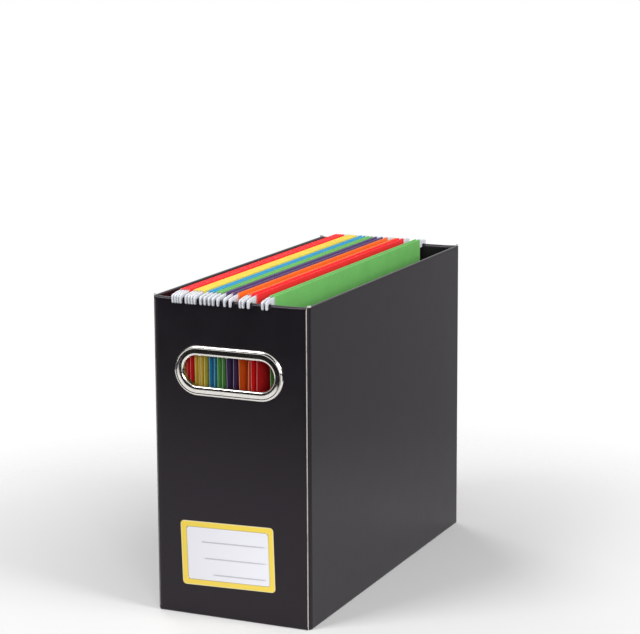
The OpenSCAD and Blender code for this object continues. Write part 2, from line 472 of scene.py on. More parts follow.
def plating_finish(settings):
    """Polished nickel plating with faint polishing lines and cloudy handling marks."""
    f = Finish("ring_plating")
    marks = f.noise(160, 5, 0.7)
    lines = f.noise(1, 3, 0.5, f.stretched((90, 600, 2400)))
    rough = f.math("ADD", f.ramp(marks, 0.45, 0.8, 0.10, 0.20), f.ramp(lines, 0.5, 0.9, 0.0, 0.05))
    normal = f.bump(f.noise(70, 2), 0.28, 0.25 * MM)
    normal = f.bump(lines, 0.05, 0.02 * MM, normal)
    f.set(Base_Color=f.mix(f.ramp(marks, 0.4, 0.8, 0, 1), settings.plating, shade(settings.plating, 0.86)),
          Metallic=1.0, Roughness=rough, Normal=normal)
    return f.material


def washer_finish(settings):
    """Dull plated sheet steel, brushed along its length."""
    f = Finish("washer_steel")
    brush = f.noise(1, 4, 0.6, f.stretched((35, 900, 2600)))
    tone = f.mix(brush, shade(settings.washer, 0.82), shade(settings.washer, 1.12))
    f.set(Base_Color=tone, Metallic=1.0, Roughness=f.ramp(brush, 0.2, 0.8, 0.26, 0.42),
          Normal=f.bump(brush, 0.12, 0.03 * MM))
    return f.material


def card_finish(name, rgb):
    """Heavy dyed card with short fibres, slightly mottled."""
    f = Finish(f"{name}_card")
    fibres = f.noise(1, 5, 0.7, f.stretched((1500, 520, 1500)))
    mottle = f.noise(55, 3, 0.6)
    tone = f.mix(f.ramp(mottle, 0.3, 0.7, 0, 0.5), shade(rgb, 1.06), shade(rgb, 0.88))
    tone = f.mix(f.ramp(fibres, 0.55, 0.85, 0, 0.22), tone, shade(rgb, 1.35))
    # the sheet is paler over the last 0.7 mm towards each of its ends
    sheet_end = 146 * MM
    along_sheet = f.node("ShaderNodeSeparateXYZ", {0: f.place}).outputs["Y"]
    cut = f.ramp(f.math("ABSOLUTE", along_sheet), sheet_end - 0.7 * MM, sheet_end - 0.2 * MM, 0, 0.5)
    tone = f.mix(cut, tone, tuple(0.45 + 0.55 * c for c in rgb))
    f.set(Base_Color=tone, Roughness=f.ramp(fibres, 0.3, 0.7, 0.5, 0.62), Specular_IOR_Level=0.35,
          Normal=f.bump(fibres, 0.25, 0.04 * MM))
    return f.material


def coat_finish(settings):
    """White dipped coating, slightly uneven and glossy."""
    f = Finish("hook_coat")
    runs = f.noise(260, 3)
    tone = f.mix(f.ramp(runs, 0.3, 0.7, 0, 1), settings.coat, shade(settings.coat, 0.93))
    f.set(Base_Color=tone, Roughness=0.33, Normal=f.bump(runs, 0.12, 0.15 * MM))
    return f.material


def strip_finish():
    """Bare steel strip inside the hems."""
    f = Finish("strip_steel")
    brush = f.noise(1, 3, 0.5, f.stretched((900, 30, 2200)))
    f.set(Base_Color=f.mix(brush, (0.42, 0.42, 0.43), (0.60, 0.60, 0.61)), Metallic=1.0,
          Roughness=f.ramp(brush, 0.2, 0.8, 0.3, 0.45))
    return f.material


# ---- The box ----

def wall_blank(name, half, face, top, rim, board):
    """A panel facing -Y whose top is rolled over through half a turn, as the board is."""
    axis = Vector((0, -face + rim / 2, top - rim / 2))
    piece = block(name, (-half, -face, 0), (half, -face + BOARD, axis.z))
    with editing(piece):
        pick(piece, "EDGE", lambda e: along(e, 0))
        bpy.ops.mesh.subdivide(number_cuts=board.wall_columns - 1)
        pick(piece, "FACE", lambda f: near(middle(f).z, axis.z))
        spin(-math.pi, board.roll_steps, axis, (1, 0, 0))
        merge_close()
        # the fold where the wall turns up from the base
        pick(piece, "EDGE", lambda e: along(e, 0) and near(middle(e).z, 0) and near(middle(e).y, -face))
        bevel(BOARD * 0.98, 5)
        # edges close to the folds keep the panel between them flat when it is smoothed
        for height in (2 * BOARD, axis.z - BOARD):
            cut_level(height)
    return piece


def soften_ends(piece, half, board):
    """Bevels the upright edges of a wall's two cut ends."""
    with editing(piece):
        pick(piece, "EDGE", lambda e: along(e, 2) and near(abs(middle(e).x), half))
        bevel(board.cut_edge, 2)


# places in the list that board_finishes returns
LAMINATE, LINING, CORE = range(3)


def wall_paint(piece, half, board, face):
    """Laminate outside and over the rim, lining inside, core at the cut ends."""
    def choose(f):
        if abs(f.normal.x) > 0.3 and half - abs(f.center.x) < board.cut_edge * 1.5:
            return CORE
        return LINING if f.normal.y > 0.9 and near(f.center.y, -face + BOARD) else LAMINATE

    paint(piece, board_finishes(board), choose)


def board_finishes(board):
    """The board's three finishes, made once."""
    names = ("black_laminate", "white_lining", "board_core")
    makers = (laminate_finish, lining_finish, core_finish)
    return [bpy.data.materials.get(n) or make(board) for n, make in zip(names, makers)]


def slot_cutter(ring_node):
    """A stadium block that goes through a wall where a ring's sleeve passes."""
    low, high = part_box(ring_node)
    return stadium_block("slot_cutter", low, high, inset=bpy.context.scene.ring.face - SLEEVE_ROOM,
                         front=low.y - 5 * MM, back=high.y + 20 * MM)


def stadium_block(name, low, high, inset, front, back):
    """A block with round ends, facing -Y, inside the box from low to high, drawn in by inset."""
    radius = (high.z - low.z) / 2 - inset
    half = (high.x - low.x) / 2 - inset - radius
    centre = Vector(((low.x + high.x) / 2, (front + back) / 2, (low.z + high.z) / 2))
    deselect_all()
    bpy.ops.mesh.primitive_cylinder_add(vertices=96, radius=radius, depth=back - front,
                                        rotation=(QUARTER, 0, 0))
    piece = rename(name)
    apply_transform(piece)
    with editing(piece):
        bpy.ops.mesh.select_all(action="SELECT")
        bpy.ops.mesh.bisect(plane_co=(0, 0, 0), plane_no=(1, 0, 0), clear_inner=True)
        bpy.ops.mesh.select_all(action="SELECT")
        bpy.ops.transform.translate(value=(half, 0, 0))
        pick(piece, "EDGE", lambda e: e.is_boundary)
        bpy.ops.mesh.extrude_edges_move(TRANSFORM_OT_translate={"value": (-half, 0, 0)})
    apply_modifier(piece, "MIRROR", use_axis=(True, False, False), merge_threshold=CLOSE)
    with editing(piece):
        # each flat side becomes one face
        for side in (-1, 1):
            pick(piece, "FACE", lambda f: f.normal.y * side > 0.9)
            bpy.ops.mesh.dissolve_faces()
    piece.location = centre
    apply_transform(piece)
    return piece


class FILEBOX_OT_base(bpy.types.Operator):
    """Makes the base panel"""
    bl_idname = "filebox.base"
    bl_label = "Base"

    def execute(self, context):
        board = context.scene.board
        piece = block("base_board", BASE_LOW, BASE_HIGH)
        with editing(piece):
            pick(piece, "FACE", lambda f: abs(f.normal.z) > 0.9)
            bpy.ops.mesh.subdivide(number_cuts=12)
            # the edge all round the underside
            pick(piece, "EDGE", lambda e: len(e.link_faces) == 2 and near(middle(e).z, 0)
                 and min(f.normal.z for f in e.link_faces) < -0.9
                 and max(f.normal.z for f in e.link_faces) > -0.1)
            bevel(0.2 * MM, 2)
        paint(piece, board_finishes(board), lambda f: LINING if f.normal.z > 0.5 else LAMINATE)
        smooth(piece)
        dress(piece, "base_panel", "box", "black_board")
        return {"FINISHED"}


class FILEBOX_OT_end_walls(bpy.types.Operator):
    """Makes the front and rear walls, with their slots"""
    bl_idname = "filebox.end_walls"
    bl_label = "End walls"

    def execute(self, context):
        board = context.scene.board
        half = FRONT_HIGH.x
        cutter = slot_cutter("front_handle_ring")
        piece = wall_blank("front_wall_board", half, END_FACE, END_TOP, END_RIM, board)
        soften_ends(piece, half, board)
        apply_modifier(piece, "BOOLEAN", object=cutter, solver="EXACT", operation="DIFFERENCE")
        bpy.data.objects.remove(cutter)
        raise_corners(piece, half, board)
        wall_paint(piece, half, board, END_FACE)
        smooth(piece)
        rear = turned(copy_of(piece, "rear_wall_board"), math.pi)
        dress(piece, "front_wall", "box", "black_board")
        dress(rear, "rear_wall", "box", "black_board")
        return {"FINISHED"}


def raise_corners(piece, half, board):
    """Lifts the rim towards both ends, where it meets the higher side walls."""
    for v in piece.data.vertices:
        climb = (abs(v.co.x) - (half - board.corner_reach)) / board.corner_reach
        if climb > 0 and v.co.z > END_TOP - 2 * END_RIM:
            share = min(1.0, (v.co.z - (END_TOP - 2 * END_RIM)) / END_RIM)
            v.co.z += board.corner_rise * share * climb ** 2


class FILEBOX_OT_side_walls(bpy.types.Operator):
    """Makes the left and right walls"""
    bl_idname = "filebox.side_walls"
    bl_label = "Side walls"

    def execute(self, context):
        board = context.scene.board
        half = SIDE_HIGH.y
        blank = wall_blank("right_wall_board", half, SIDE_FACE, SIDE_TOP, SIDE_RIM, board)
        # half + MM: a side wall's ends run into the corner folds, so they aren't cut edges
        wall_paint(blank, half + MM, board, SIDE_FACE)
        smooth(blank)
        left = turned(copy_of(blank, "left_wall_board"), -QUARTER)
        right = turned(blank, QUARTER)
        dress(left, "left_wall", "box", "black_board")
        dress(right, "right_wall", "box", "black_board")
        return {"FINISHED"}


class FILEBOX_OT_rim_flaps(bpy.types.Operator):
    """Makes the four flaps that the rims turn down inside"""
    bl_idname = "filebox.rim_flaps"
    bl_label = "Rim flaps"

    corner_cut: length("Corner cut", "Cut at the flap's lower corners", 4)

    def flap(self, name, node, turn, finishes):
        """Draws a flap as the front one, and turns it to its wall."""
        low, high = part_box(node)
        ends = max(high.x - low.x, high.y - low.y) / 2
        outer = min(abs(low.x), abs(high.x)) if turn % math.pi else min(abs(low.y), abs(high.y))
        piece = block(name, (-ends, -outer - BOARD, low.z), (ends, -outer, high.z))
        with editing(piece):
            pick(piece, "EDGE", lambda e: along(e, 1) and near(middle(e).z, low.z))
            bevel(self.corner_cut, 1)
            # the free edges of the face that shows
            pick(piece, "EDGE", lambda e: near(middle(e).y, -outer) and middle(e).z < high.z - CLOSE)
            bevel(0.25 * MM, 2)
        paint(piece, finishes,
              lambda f: CORE if abs(f.normal.y) < 0.3 and f.normal.z < 0.9 else LAMINATE)
        smooth(piece)
        dress(turned(piece, turn), node, "box", "black_board")

    def execute(self, context):
        finishes = board_finishes(context.scene.board)
        for side, turn in (("front", 0), ("right", QUARTER), ("rear", math.pi), ("left", -QUARTER)):
            self.flap(f"{side}_flap_board", f"{side}_rim_flap", turn, finishes)
        return {"FINISHED"}


class FILEBOX_OT_corner_tabs(bpy.types.Operator):
    """Makes the corner folds, with the tabs that lie behind the end walls"""
    bl_idname = "filebox.corner_tabs"
    bl_label = "Corner tabs"

    foot: length("Foot", "Width of a tab's lower part", 10)
    knee: length("Knee", "Height where a tab begins to narrow", 215)
    taper: length("Taper", "Height over which a tab narrows", 14.3)
    headroom: length("Headroom", "Gap between a tab and the middle of the rolled rim", 0.4)
    scuff: length("Scuff", "Rounding of the corner at the floor", 1.2)
    raw_depth: length("Raw depth", "How far the cut top's white reaches down the fold", 0.4)
    raw_top: length("Raw top", "How far a fold's cut top stands above the side walls' rims", 0.9)

    def corner(self, finishes):
        """The right front one: the tab, the quarter turn of the fold beside it and the fold's cut top."""
        low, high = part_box("right_front_tab")
        fold_x, fold_y = FRONT_HIGH.x, high.y
        tab_top = END_TOP - END_RIM / 2 - self.headroom
        piece = block("right_front_corner", (low.x, low.y, BOARD), (fold_x, low.y + BOARD, tab_top))
        with editing(piece):
            for height in (self.knee, self.knee - self.taper):
                cut_level(height)
            # the tab narrows below its knee
            pick(piece, "VERT", lambda v: near(v.co.x, low.x) and v.co.z < self.knee - MM)
            bpy.ops.transform.translate(value=(fold_x - low.x - self.foot, 0, 0))
            pick(piece, "FACE", lambda f: near(middle(f).x, fold_x))
            spin(QUARTER, 6, (fold_x, fold_y, 0), (0, 0, 1))
            merge_close()
            # the fold itself goes down to the floor and up to the side wall's rim
            pick(piece, "FACE", lambda f: f.normal.z < -0.9 and middle(f).x > fold_x + CLOSE)
            extrude((0, 0, -BOARD))
            pick(piece, "FACE", lambda f: f.normal.z > 0.9 and middle(f).x > fold_x + CLOSE)
            extrude((0, 0, SIDE_TOP - self.raw_depth - tab_top))
            extrude((0, 0, self.raw_depth + self.raw_top))
            pick(piece, "EDGE", lambda e: near(middle(e).z, 0) and not along(e, 2)
                 and math.hypot(middle(e).x - fold_x, middle(e).y - fold_y) > BOARD * 0.9)
            bevel(self.scuff, 3)

        def choose(f):
            if f.center.z > SIDE_TOP - self.raw_depth + CLOSE:
                return LINING
            if abs(f.normal.z) > 0.5 or f.center.x < fold_x - self.foot + CLOSE and f.normal.x < -0.5:
                return CORE
            return LINING if f.normal.y > 0.9 and f.center.x < fold_x else LAMINATE

        paint(piece, finishes, choose)
        smooth(piece)
        return piece

    def execute(self, context):
        piece = self.corner(board_finishes(context.scene.board))
        corners = {
            "right_front": piece,
            "left_front": mirrored(piece, "left_front_corner", (-1, 1, 1)),
            "right_rear": mirrored(piece, "right_rear_corner", (1, -1, 1)),
            "left_rear": turned(copy_of(piece, "left_rear_corner"), math.pi),
        }
        for place, corner in corners.items():
            dress(corner, f"{place}_tab", "box", "board_corners")
        return {"FINISHED"}


class FILEBOX_OT_handle_rings(bpy.types.Operator):
    """Makes the two pressed metal rings"""
    bl_idname = "filebox.handle_rings"
    bl_label = "Handle rings"

    def section(self, ring, outer, inner, rise, depth):
        """The metal's outer surface as one open line, from the board over slope and face to the curl."""
        slope_in = outer - ring.slope
        # distance from the slot's middle line, height off the board, rounding, steps of the rounding
        corners = (
            (outer, 0, 0, 0),
            (outer, ring.edge, 0.9 * MM, 6),
            (slope_in, ring.slope_rise, 0.3 * MM, 4),
            (slope_in - ring.groove, ring.slope_rise - ring.groove_drop, 0.15 * MM, 2),
            (outer - ring.crown, rise - ring.crown_drop, 0.5 * MM, 4),
            (inner, rise, ring.inner_shoulder, 9),
            (inner, -depth, ring.metal, 3),
            (inner + ring.curl, -depth, 0, 0),
        )
        deselect_all()
        bpy.ops.mesh.primitive_plane_add(size=1)
        piece = rename("front_ring")
        with editing(piece):
            pick(piece, "VERT", lambda v: True)
            bpy.ops.mesh.merge(type="CENTER")
            place = Vector((0, 0, 0))
            for distance, height, _, _ in corners:
                step = Vector((0, -height, distance)) - place
                if place.length == 0:
                    bpy.ops.transform.translate(value=step)
                else:
                    bpy.ops.mesh.extrude_vertices_move(TRANSFORM_OT_translate={"value": step})
                place += step
            for distance, height, rounding, steps in corners:
                if rounding:
                    pick(piece, "VERT", lambda v: near(v.co.y, -height) and near(v.co.z, distance))
                    bevel(rounding, steps, affect="VERTICES")
        return piece

    def execute(self, context):
        ring = context.scene.ring
        low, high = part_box("front_handle_ring")
        outer = (high.z - low.z) / 2
        inner = outer - ring.face
        half = (high.x - low.x) / 2 - outer
        rise = -END_FACE - low.y
        depth = high.y + END_FACE
        piece = self.section(ring, outer, inner, rise, depth)
        with editing(piece):
            bpy.ops.mesh.select_all(action="SELECT")
            spin(math.pi, 28, (0, 0, 0), (0, 1, 0))
            bpy.ops.mesh.select_all(action="SELECT")
            bpy.ops.transform.translate(value=(half, 0, 0))
            pick(piece, "EDGE", lambda e: near(e.verts[0].co.x, half) and near(e.verts[1].co.x, half))
            bpy.ops.mesh.extrude_edges_move(TRANSFORM_OT_translate={"value": (-half, 0, 0)})
            merge_close()
        apply_modifier(piece, "MIRROR", use_axis=(True, False, False), merge_threshold=CLOSE)
        with editing(piece):
            merge_close()
        apply_modifier(piece, "SOLIDIFY", thickness=ring.metal, offset=-1)
        self.cut_seams(piece, ring, inner, half, rise, depth)
        paint(piece, [plating_finish(ring)], lambda f: 0)
        smooth(piece, 40)
        piece.location = ((low.x + high.x) / 2, -END_FACE, (low.z + high.z) / 2)
        apply_transform(piece)
        rear = turned(copy_of(piece, "rear_ring"), math.pi)
        dress(piece, "front_handle_ring", "box", "ring_metal")
        dress(rear, "rear_handle_ring", "box", "ring_metal")
        return {"FINISHED"}

    def cut_seams(self, piece, ring, inner, half, rise, depth):
        """Cuts the slit at each end of the slot where the sleeve was opened to be turned over."""
        # the slit begins partway down the rounding of the ring's inner edge
        reach = half + inner + ring.inner_shoulder * 0.45
        slit = block("seam_cutter", (-reach, -rise + ring.inner_shoulder * 0.3, -ring.seam / 2),
                     (reach, depth + MM, ring.seam / 2))
        apply_modifier(piece, "BOOLEAN", object=slit, solver="EXACT", operation="DIFFERENCE")
        bpy.data.objects.remove(slit)


class FILEBOX_OT_clip_rings(bpy.types.Operator):
    """Makes the flat rings inside the walls that the sleeves are curled over"""
    bl_idname = "filebox.clip_rings"
    bl_label = "Clip rings"

    def execute(self, context):
        ring = context.scene.ring
        low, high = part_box("front_clip_ring")
        piece = stadium_block("front_washer", low, high, 0, low.y, high.y)
        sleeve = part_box("front_handle_ring")
        hole = (sleeve[1].z - sleeve[0].z) / 2 - ring.face + SLEEVE_ROOM
        cutter = stadium_block("washer_cutter", low, high, (high.z - low.z) / 2 - hole,
                               low.y - MM, high.y + MM)
        apply_modifier(piece, "BOOLEAN", object=cutter, solver="EXACT", operation="DIFFERENCE")
        bpy.data.objects.remove(cutter)
        apply_modifier(piece, "BEVEL", width=0.25 * MM, segments=2, limit_method="ANGLE")
        paint(piece, [washer_finish(ring)], lambda f: 0)
        smooth(piece)
        rear = turned(copy_of(piece, "rear_washer"), math.pi)
        dress(piece, "front_clip_ring", "box", "clip_metal")
        dress(rear, "rear_clip_ring", "box", "clip_metal")
        return {"FINISHED"}


class FILEBOX_OT_label(bpy.types.Operator):
    """Makes the paper label with its ruled writing panel"""
    bl_idname = "filebox.label"
    bl_label = "Label"

    def execute(self, context):
        label = context.scene.label
        low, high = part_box("label")
        half = Vector((label.width / 2, (high.y - low.y) / 2, label.height / 2))
        piece = block("writing_label", -half, half)
        with editing(piece):
            pick(piece, "EDGE", lambda e: along(e, 1))
            bevel(label.corner, 8)
            pick(piece, "EDGE", lambda e: near(middle(e).y, -half.y))
            bevel(0.1 * MM, 2)
        smooth(piece)
        piece.rotation_euler = (0, -label.tilt, 0)
        piece.location = (low + high) / 2
        apply_transform(piece)
        paint(piece, [LabelPrint(label, (low + high) / 2).material], lambda f: 0)
        dress(piece, "label", "box", "label_paper")
        return {"FINISHED"}


class LabelPrint(Finish):
    """Yellow border, white panel with a dashed outline, and dotted lines to write on."""

    # where each dotted line starts and its height, in millimetres from the label's middle
    LINES = ((-22, 9.55), (-20.5, -3.55), (-12.5, -16.45))
    LINES_END = 32.5

    def __init__(self, label, centre):
        super().__init__("label_print")
        self.label = label
        level = self.stretched((1, 1, 1), rotation=(0, label.tilt, 0),
                               location=Matrix.Rotation(label.tilt, 3, "Y") @ -centre)
        parts = self.node("ShaderNodeSeparateXYZ", {0: level})
        self.x, self.z = parts.outputs["X"], parts.outputs["Z"]
        paper = self.noise(700, 3)
        tone = self.mix(self.ramp(paper, 0.4, 0.7, 0, 0.3), label.border, shade(label.border, 0.93))
        tone = self.panel(tone)
        # painted highlight: a pale band just inside the label's edge, for light caught along the edge
        rim = self.math("MAXIMUM", self.past(self.x, label.width / 2), self.past(self.z, label.height / 2))
        tone = self.mix(self.ramp(rim, -0.8 * MM, -0.2 * MM, 0, 0.75), tone, (0.95, 0.88, 0.62))
        tone = self.mix(self.dashes, tone, label.dash)
        for start, height in self.LINES:
            tone = self.mix(self.dotted_line(start * MM, height * MM), tone, label.ink)
        self.set(Base_Color=tone, Roughness=0.45, Normal=self.bump(paper, 0.15, 0.03 * MM))

    def past(self, place, reach):
        """How far a place lies past reach, to either side of the middle."""
        return self.math("SUBTRACT", self.math("ABSOLUTE", place), reach)

    def beat(self, place, level):
        """1 where a dot or dash falls and 0 between; a higher level makes them shorter."""
        turn = self.math("MULTIPLY", place, 2 * math.pi / self.label.dot_pitch)
        return self.math("GREATER_THAN", self.math("SINE", turn), level)

    def panel(self, border):
        """Lays the white panel on the border, and keeps the dashes for its outline."""
        label = self.label
        across = self.past(self.math("SUBTRACT", self.x, label.panel_shift), label.panel_width / 2)
        up = self.past(self.z, label.panel_height / 2)
        clipped = self.math("ADD", self.math("ADD", across, up), label.panel_corner)
        clipped = self.math("MULTIPLY", clipped, math.sqrt(0.5))
        outside = self.math("MAXIMUM", self.math("MAXIMUM", across, up), clipped)
        outline = self.ramp(self.math("ABSOLUTE", outside), 0.3 * MM, 0.45 * MM, 1, 0)
        run = self.node("ShaderNodeMix", {"Factor": self.math("GREATER_THAN", across, up),
                                          2: self.x, 3: self.z}, data_type="FLOAT").outputs[0]
        self.dashes = self.math("MULTIPLY", self.math("MULTIPLY", outline, self.beat(run, 0.15)), 0.8)
        soft = 0.12 * MM
        return self.mix(self.ramp(outside, -soft, soft, 1, 0), border, label.panel)

    def dotted_line(self, start, height):
        line = self.past(self.math("SUBTRACT", self.z, height), 0.38 * MM)
        line = self.ramp(line, 0, 0.12 * MM, 1, 0)
        span = self.math("MULTIPLY", self.math("GREATER_THAN", self.x, start),
                         self.math("LESS_THAN", self.x, self.LINES_END * MM))
        return self.math("MULTIPLY", self.math("MULTIPLY", line, span), self.beat(self.x, 0.2))


# ---- The folders ----

def rod_middle(number, side):
    low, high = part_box(f"folder_{number}_{side}_rod")
    return (low.x + high.x) / 2


class FILEBOX_OT_leaves(bpy.types.Operator):
    """Makes the folders' card leaves, each with a hem folded over its rod"""
    bl_idname = "filebox.leaves"
    bl_label = "Leaves"

    columns: IntProperty(name="Columns", description="Columns of faces along a leaf", default=40, min=4)

    def flat_leaf(self, name, low, high, foot, hem_low, folder):
        """An upright sheet on the -X side of its rod, with its hem turned over the rod at x = 0."""
        middle_out = folder.hem_radius - folder.card / 2
        axis = high.z - folder.hem_radius
        deselect_all()
        bpy.ops.mesh.primitive_plane_add(size=1, rotation=(0, QUARTER, 0))
        piece = rename(name)
        piece.scale = (axis - foot, high.y - low.y, 1)
        piece.location = (-middle_out, 0, (axis + foot) / 2)
        apply_transform(piece)
        with editing(piece):
            pick(piece, "EDGE", lambda e: along(e, 1))
            bpy.ops.mesh.subdivide(number_cuts=self.columns - 1)
            # edges across the sheet, so that it can wave
            for share in (0.25, 0.5, 0.75, 1):
                cut_level(foot + (hem_low - foot) * share)
            pick(piece, "EDGE", lambda e: near(middle(e).z, axis))
            spin(math.pi, 8, (0, 0, axis), (0, 1, 0))
            pick(piece, "EDGE", lambda e: near(middle(e).z, axis) and middle(e).x > 0 and along(e, 1))
            bpy.ops.mesh.extrude_edges_move(TRANSFORM_OT_translate={"value": (0, 0, hem_low - axis)})
            merge_close()
        return piece

    def leaf(self, number, side, material, folder):
        """Draws the leaf as a left one, from its hem down to the crease, and mirrors a right one."""
        sign = -1 if side == "left" else 1
        rod = rod_middle(number, side)
        low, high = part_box(f"folder_{number}_{side}_leaf")
        crease = (rod_middle(number, "left") + rod_middle(number, "right")) / 2
        lean = abs(crease - rod)
        hem_low = high.z - folder.hem
        foot = low.z + folder.crease_radius if side == "left" else low.z
        piece = self.flat_leaf(f"folder_{number}_{side}_card", low, high, foot, hem_low, folder)
        # the sheet below the hem leans in to the crease
        travel = lean - folder.crease_radius + folder.hem_radius
        for v in piece.data.vertices:
            below = (hem_low - v.co.z) / (hem_low - foot)
            if below > 0 and v.co.x < 0:
                v.co.x += below * travel
            # each leaf waves out of step with the others
            ripple = math.sin(v.co.y / folder.wave_length + number * 1.7 + rod * 900)
            v.co.x += folder.wave * ripple * math.sin(math.pi * min(1.0, max(0.0, below)))
        if side == "left":
            with editing(piece):
                pick(piece, "EDGE", lambda e: near(middle(e).z, foot) and along(e, 1))
                spin(-math.pi, 8, (lean, 0, foot), (0, 1, 0))
                merge_close()
        apply_modifier(piece, "SOLIDIFY", thickness=folder.card, offset=0)
        paint(piece, [material], lambda f: 0)
        smooth(piece)
        piece.location = (rod, 0, 0)
        piece.scale = (-sign, 1, 1)
        apply_transform(piece)
        face_outwards(piece)
        return piece

    def execute(self, context):
        folder = context.scene.folder
        slots = {row["node"]: row["material_slot"] for row in frame["record"]["subparts"]}
        cards = {}
        for number in range(1, FOLDERS + 1):
            slot = slots[f"folder_{number}_left_leaf"]
            name = slot.removesuffix("_sheet")
            if name not in cards:
                cards[name] = card_finish(name, getattr(folder, name))
            for side in ("left", "right"):
                piece = self.leaf(number, side, cards[name], folder)
                dress(piece, f"folder_{number}_{side}_leaf", f"folder_{number}_{side}_half", slot)
        return {"FINISHED"}


class FILEBOX_OT_rods(bpy.types.Operator):
    """Makes the flat rods with a coated hook at each end"""
    bl_idname = "filebox.rods"
    bl_label = "Rods"

    strip: length("Strip", "Thickness of the steel strip in the hem", 0.8)
    strip_height: length("Strip height", "Height of the steel strip", 7)
    notch: length("Notch", "Gap between a hook and the rim", 0.5)
    card_gap: length("Card gap", "Gap between a hook's coating and the card", 0.4)
    bar_drop: length("Bar drop", "How far a hook's bar slopes down to its leg", 1.7)
    tip_taper: length("Tip taper", "How much a leg narrows to its tip", 0.5)
    knuckle: length("Knuckle", "Rounding outside a hook where its leg meets its bar", 1.6)
    notch_round: length("Notch round", "Radius inside a hook where its leg meets its bar", 2)

    def hook(self, low, high, root, folder):
        """The front hook at x = 0: a leg outside the rim, a bar over it and a root inside, to y = root."""
        half = (high.x - low.x) / 2
        outer = low.y
        leg_inner = outer + folder.leg
        notch_inner = -END_FACE + END_RIM + self.notch
        under = high.z - folder.bar
        piece = block("rod_blank", (-half, outer, under), (half, leg_inner, high.z))
        with editing(piece):
            pick(piece, "FACE", lambda f: near(middle(f).y, leg_inner))
            extrude((0, notch_inner - leg_inner, 0))
            extrude((0, root - notch_inner, 0))
            pick(piece, "FACE", lambda f: f.normal.z < -0.9 and middle(f).y < leg_inner)
            extrude((0, 0, low.z - under))
            pick(piece, "FACE", lambda f: f.normal.z < -0.9 and middle(f).y > notch_inner)
            extrude((0, 0, high.z - self.strip_height - under))
            # the bar slopes down to the leg, and the leg narrows to its tip
            for place, drop in ((outer, self.bar_drop), (leg_inner, self.bar_drop * 0.7),
                                (notch_inner, self.bar_drop * 0.2)):
                pick(piece, "VERT", lambda v: near(v.co.z, high.z) and near(v.co.y, place))
                bpy.ops.transform.translate(value=(0, 0, -drop))
            pick(piece, "VERT", lambda v: near(v.co.z, low.z) and near(v.co.y, outer))
            bpy.ops.transform.translate(value=(0, self.tip_taper, 0))
            pick(piece, "EDGE", lambda e: along(e, 0) and near(middle(e).z, low.z))
            bevel((folder.leg - self.tip_taper) * 0.45, 6)
            pick(piece, "EDGE", lambda e: along(e, 0) and near(middle(e).z, high.z - self.bar_drop)
                 and near(middle(e).y, outer))
            bevel(self.knuckle, 6)
            pick(piece, "EDGE", lambda e: along(e, 0) and near(middle(e).z, under)
                 and near(middle(e).y, leg_inner))
            bevel(self.notch_round, 5)
        apply_modifier(piece, "BEVEL", width=folder.soften, segments=3, limit_method="ANGLE",
                       angle_limit=math.radians(50))
        return piece

    def blank(self, folder):
        """The rod at x = 0, drawn from the front hook to the middle and mirrored."""
        low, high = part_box("folder_1_left_rod")
        card_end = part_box("folder_1_left_leaf")[0].y
        piece = self.hook(low, high, card_end - self.card_gap, folder)
        strip = block("rod_strip", (-self.strip / 2, card_end - MM, high.z - self.strip_height),
                      (self.strip / 2, 0, high.z))
        paint(piece, [bpy.data.materials.get("hook_coat") or coat_finish(folder)], lambda f: 0)
        paint(strip, [bpy.data.materials.get("strip_steel") or strip_finish()], lambda f: 0)
        make_active(piece)
        strip.select_set(True)
        bpy.ops.object.join()
        apply_modifier(piece, "MIRROR", use_axis=(False, True, False), merge_threshold=CLOSE)
        smooth(piece)
        return piece

    def execute(self, context):
        blank = self.blank(context.scene.folder)
        for number in range(1, FOLDERS + 1):
            for side in ("left", "right"):
                piece = copy_of(blank, f"folder_{number}_{side}_hanger")
                piece.location = (rod_middle(number, side), 0, 0)
                apply_transform(piece)
                dress(piece, f"folder_{number}_{side}_rod", f"folder_{number}_{side}_half", "coated_rod")
        bpy.data.objects.remove(blank)
        return {"FINISHED"}


# ---- The stage ----

# name, place, width and height, turn about the upright axis, grey
CARDS = (
    ("near_card", (-0.26, -0.65, 0.42), (0.9, 0.8), 0.2, 0.01),
    ("far_card", (0.2, -2.6, 0.9), (4.5, 1.8), 0, 0.01),
    ("left_card", (-0.8, -0.1, 0.46), (0.8, 0.9), -1.3, 0.01),
    ("right_card", (0.50, -0.32, 0.21), (0.45, 0.4), 1.2, 0.01),
    ("rear_card", (0.53, 0.46, 0.2), (0.8, 0.8), -0.4, 0.6),
)
# name, place, width and height, power in watts
LAMPS = (
    ("key_softbox", (-0.65, -1.05, 1.5), (0.7, 0.7), 14),
    ("front_softbox", (1.25, -2.1, 0.75), (1.0, 0.9), 20),
    ("right_softbox", (1.9, -0.3, 1.3), (1.0, 1.2), 30),
    ("rear_softbox", (-1.6, 1.4, 1.4), (1.0, 1.0), 12),
)
LAMP_TARGET = Vector((0, 0, 0.14))  # near the middle of the box


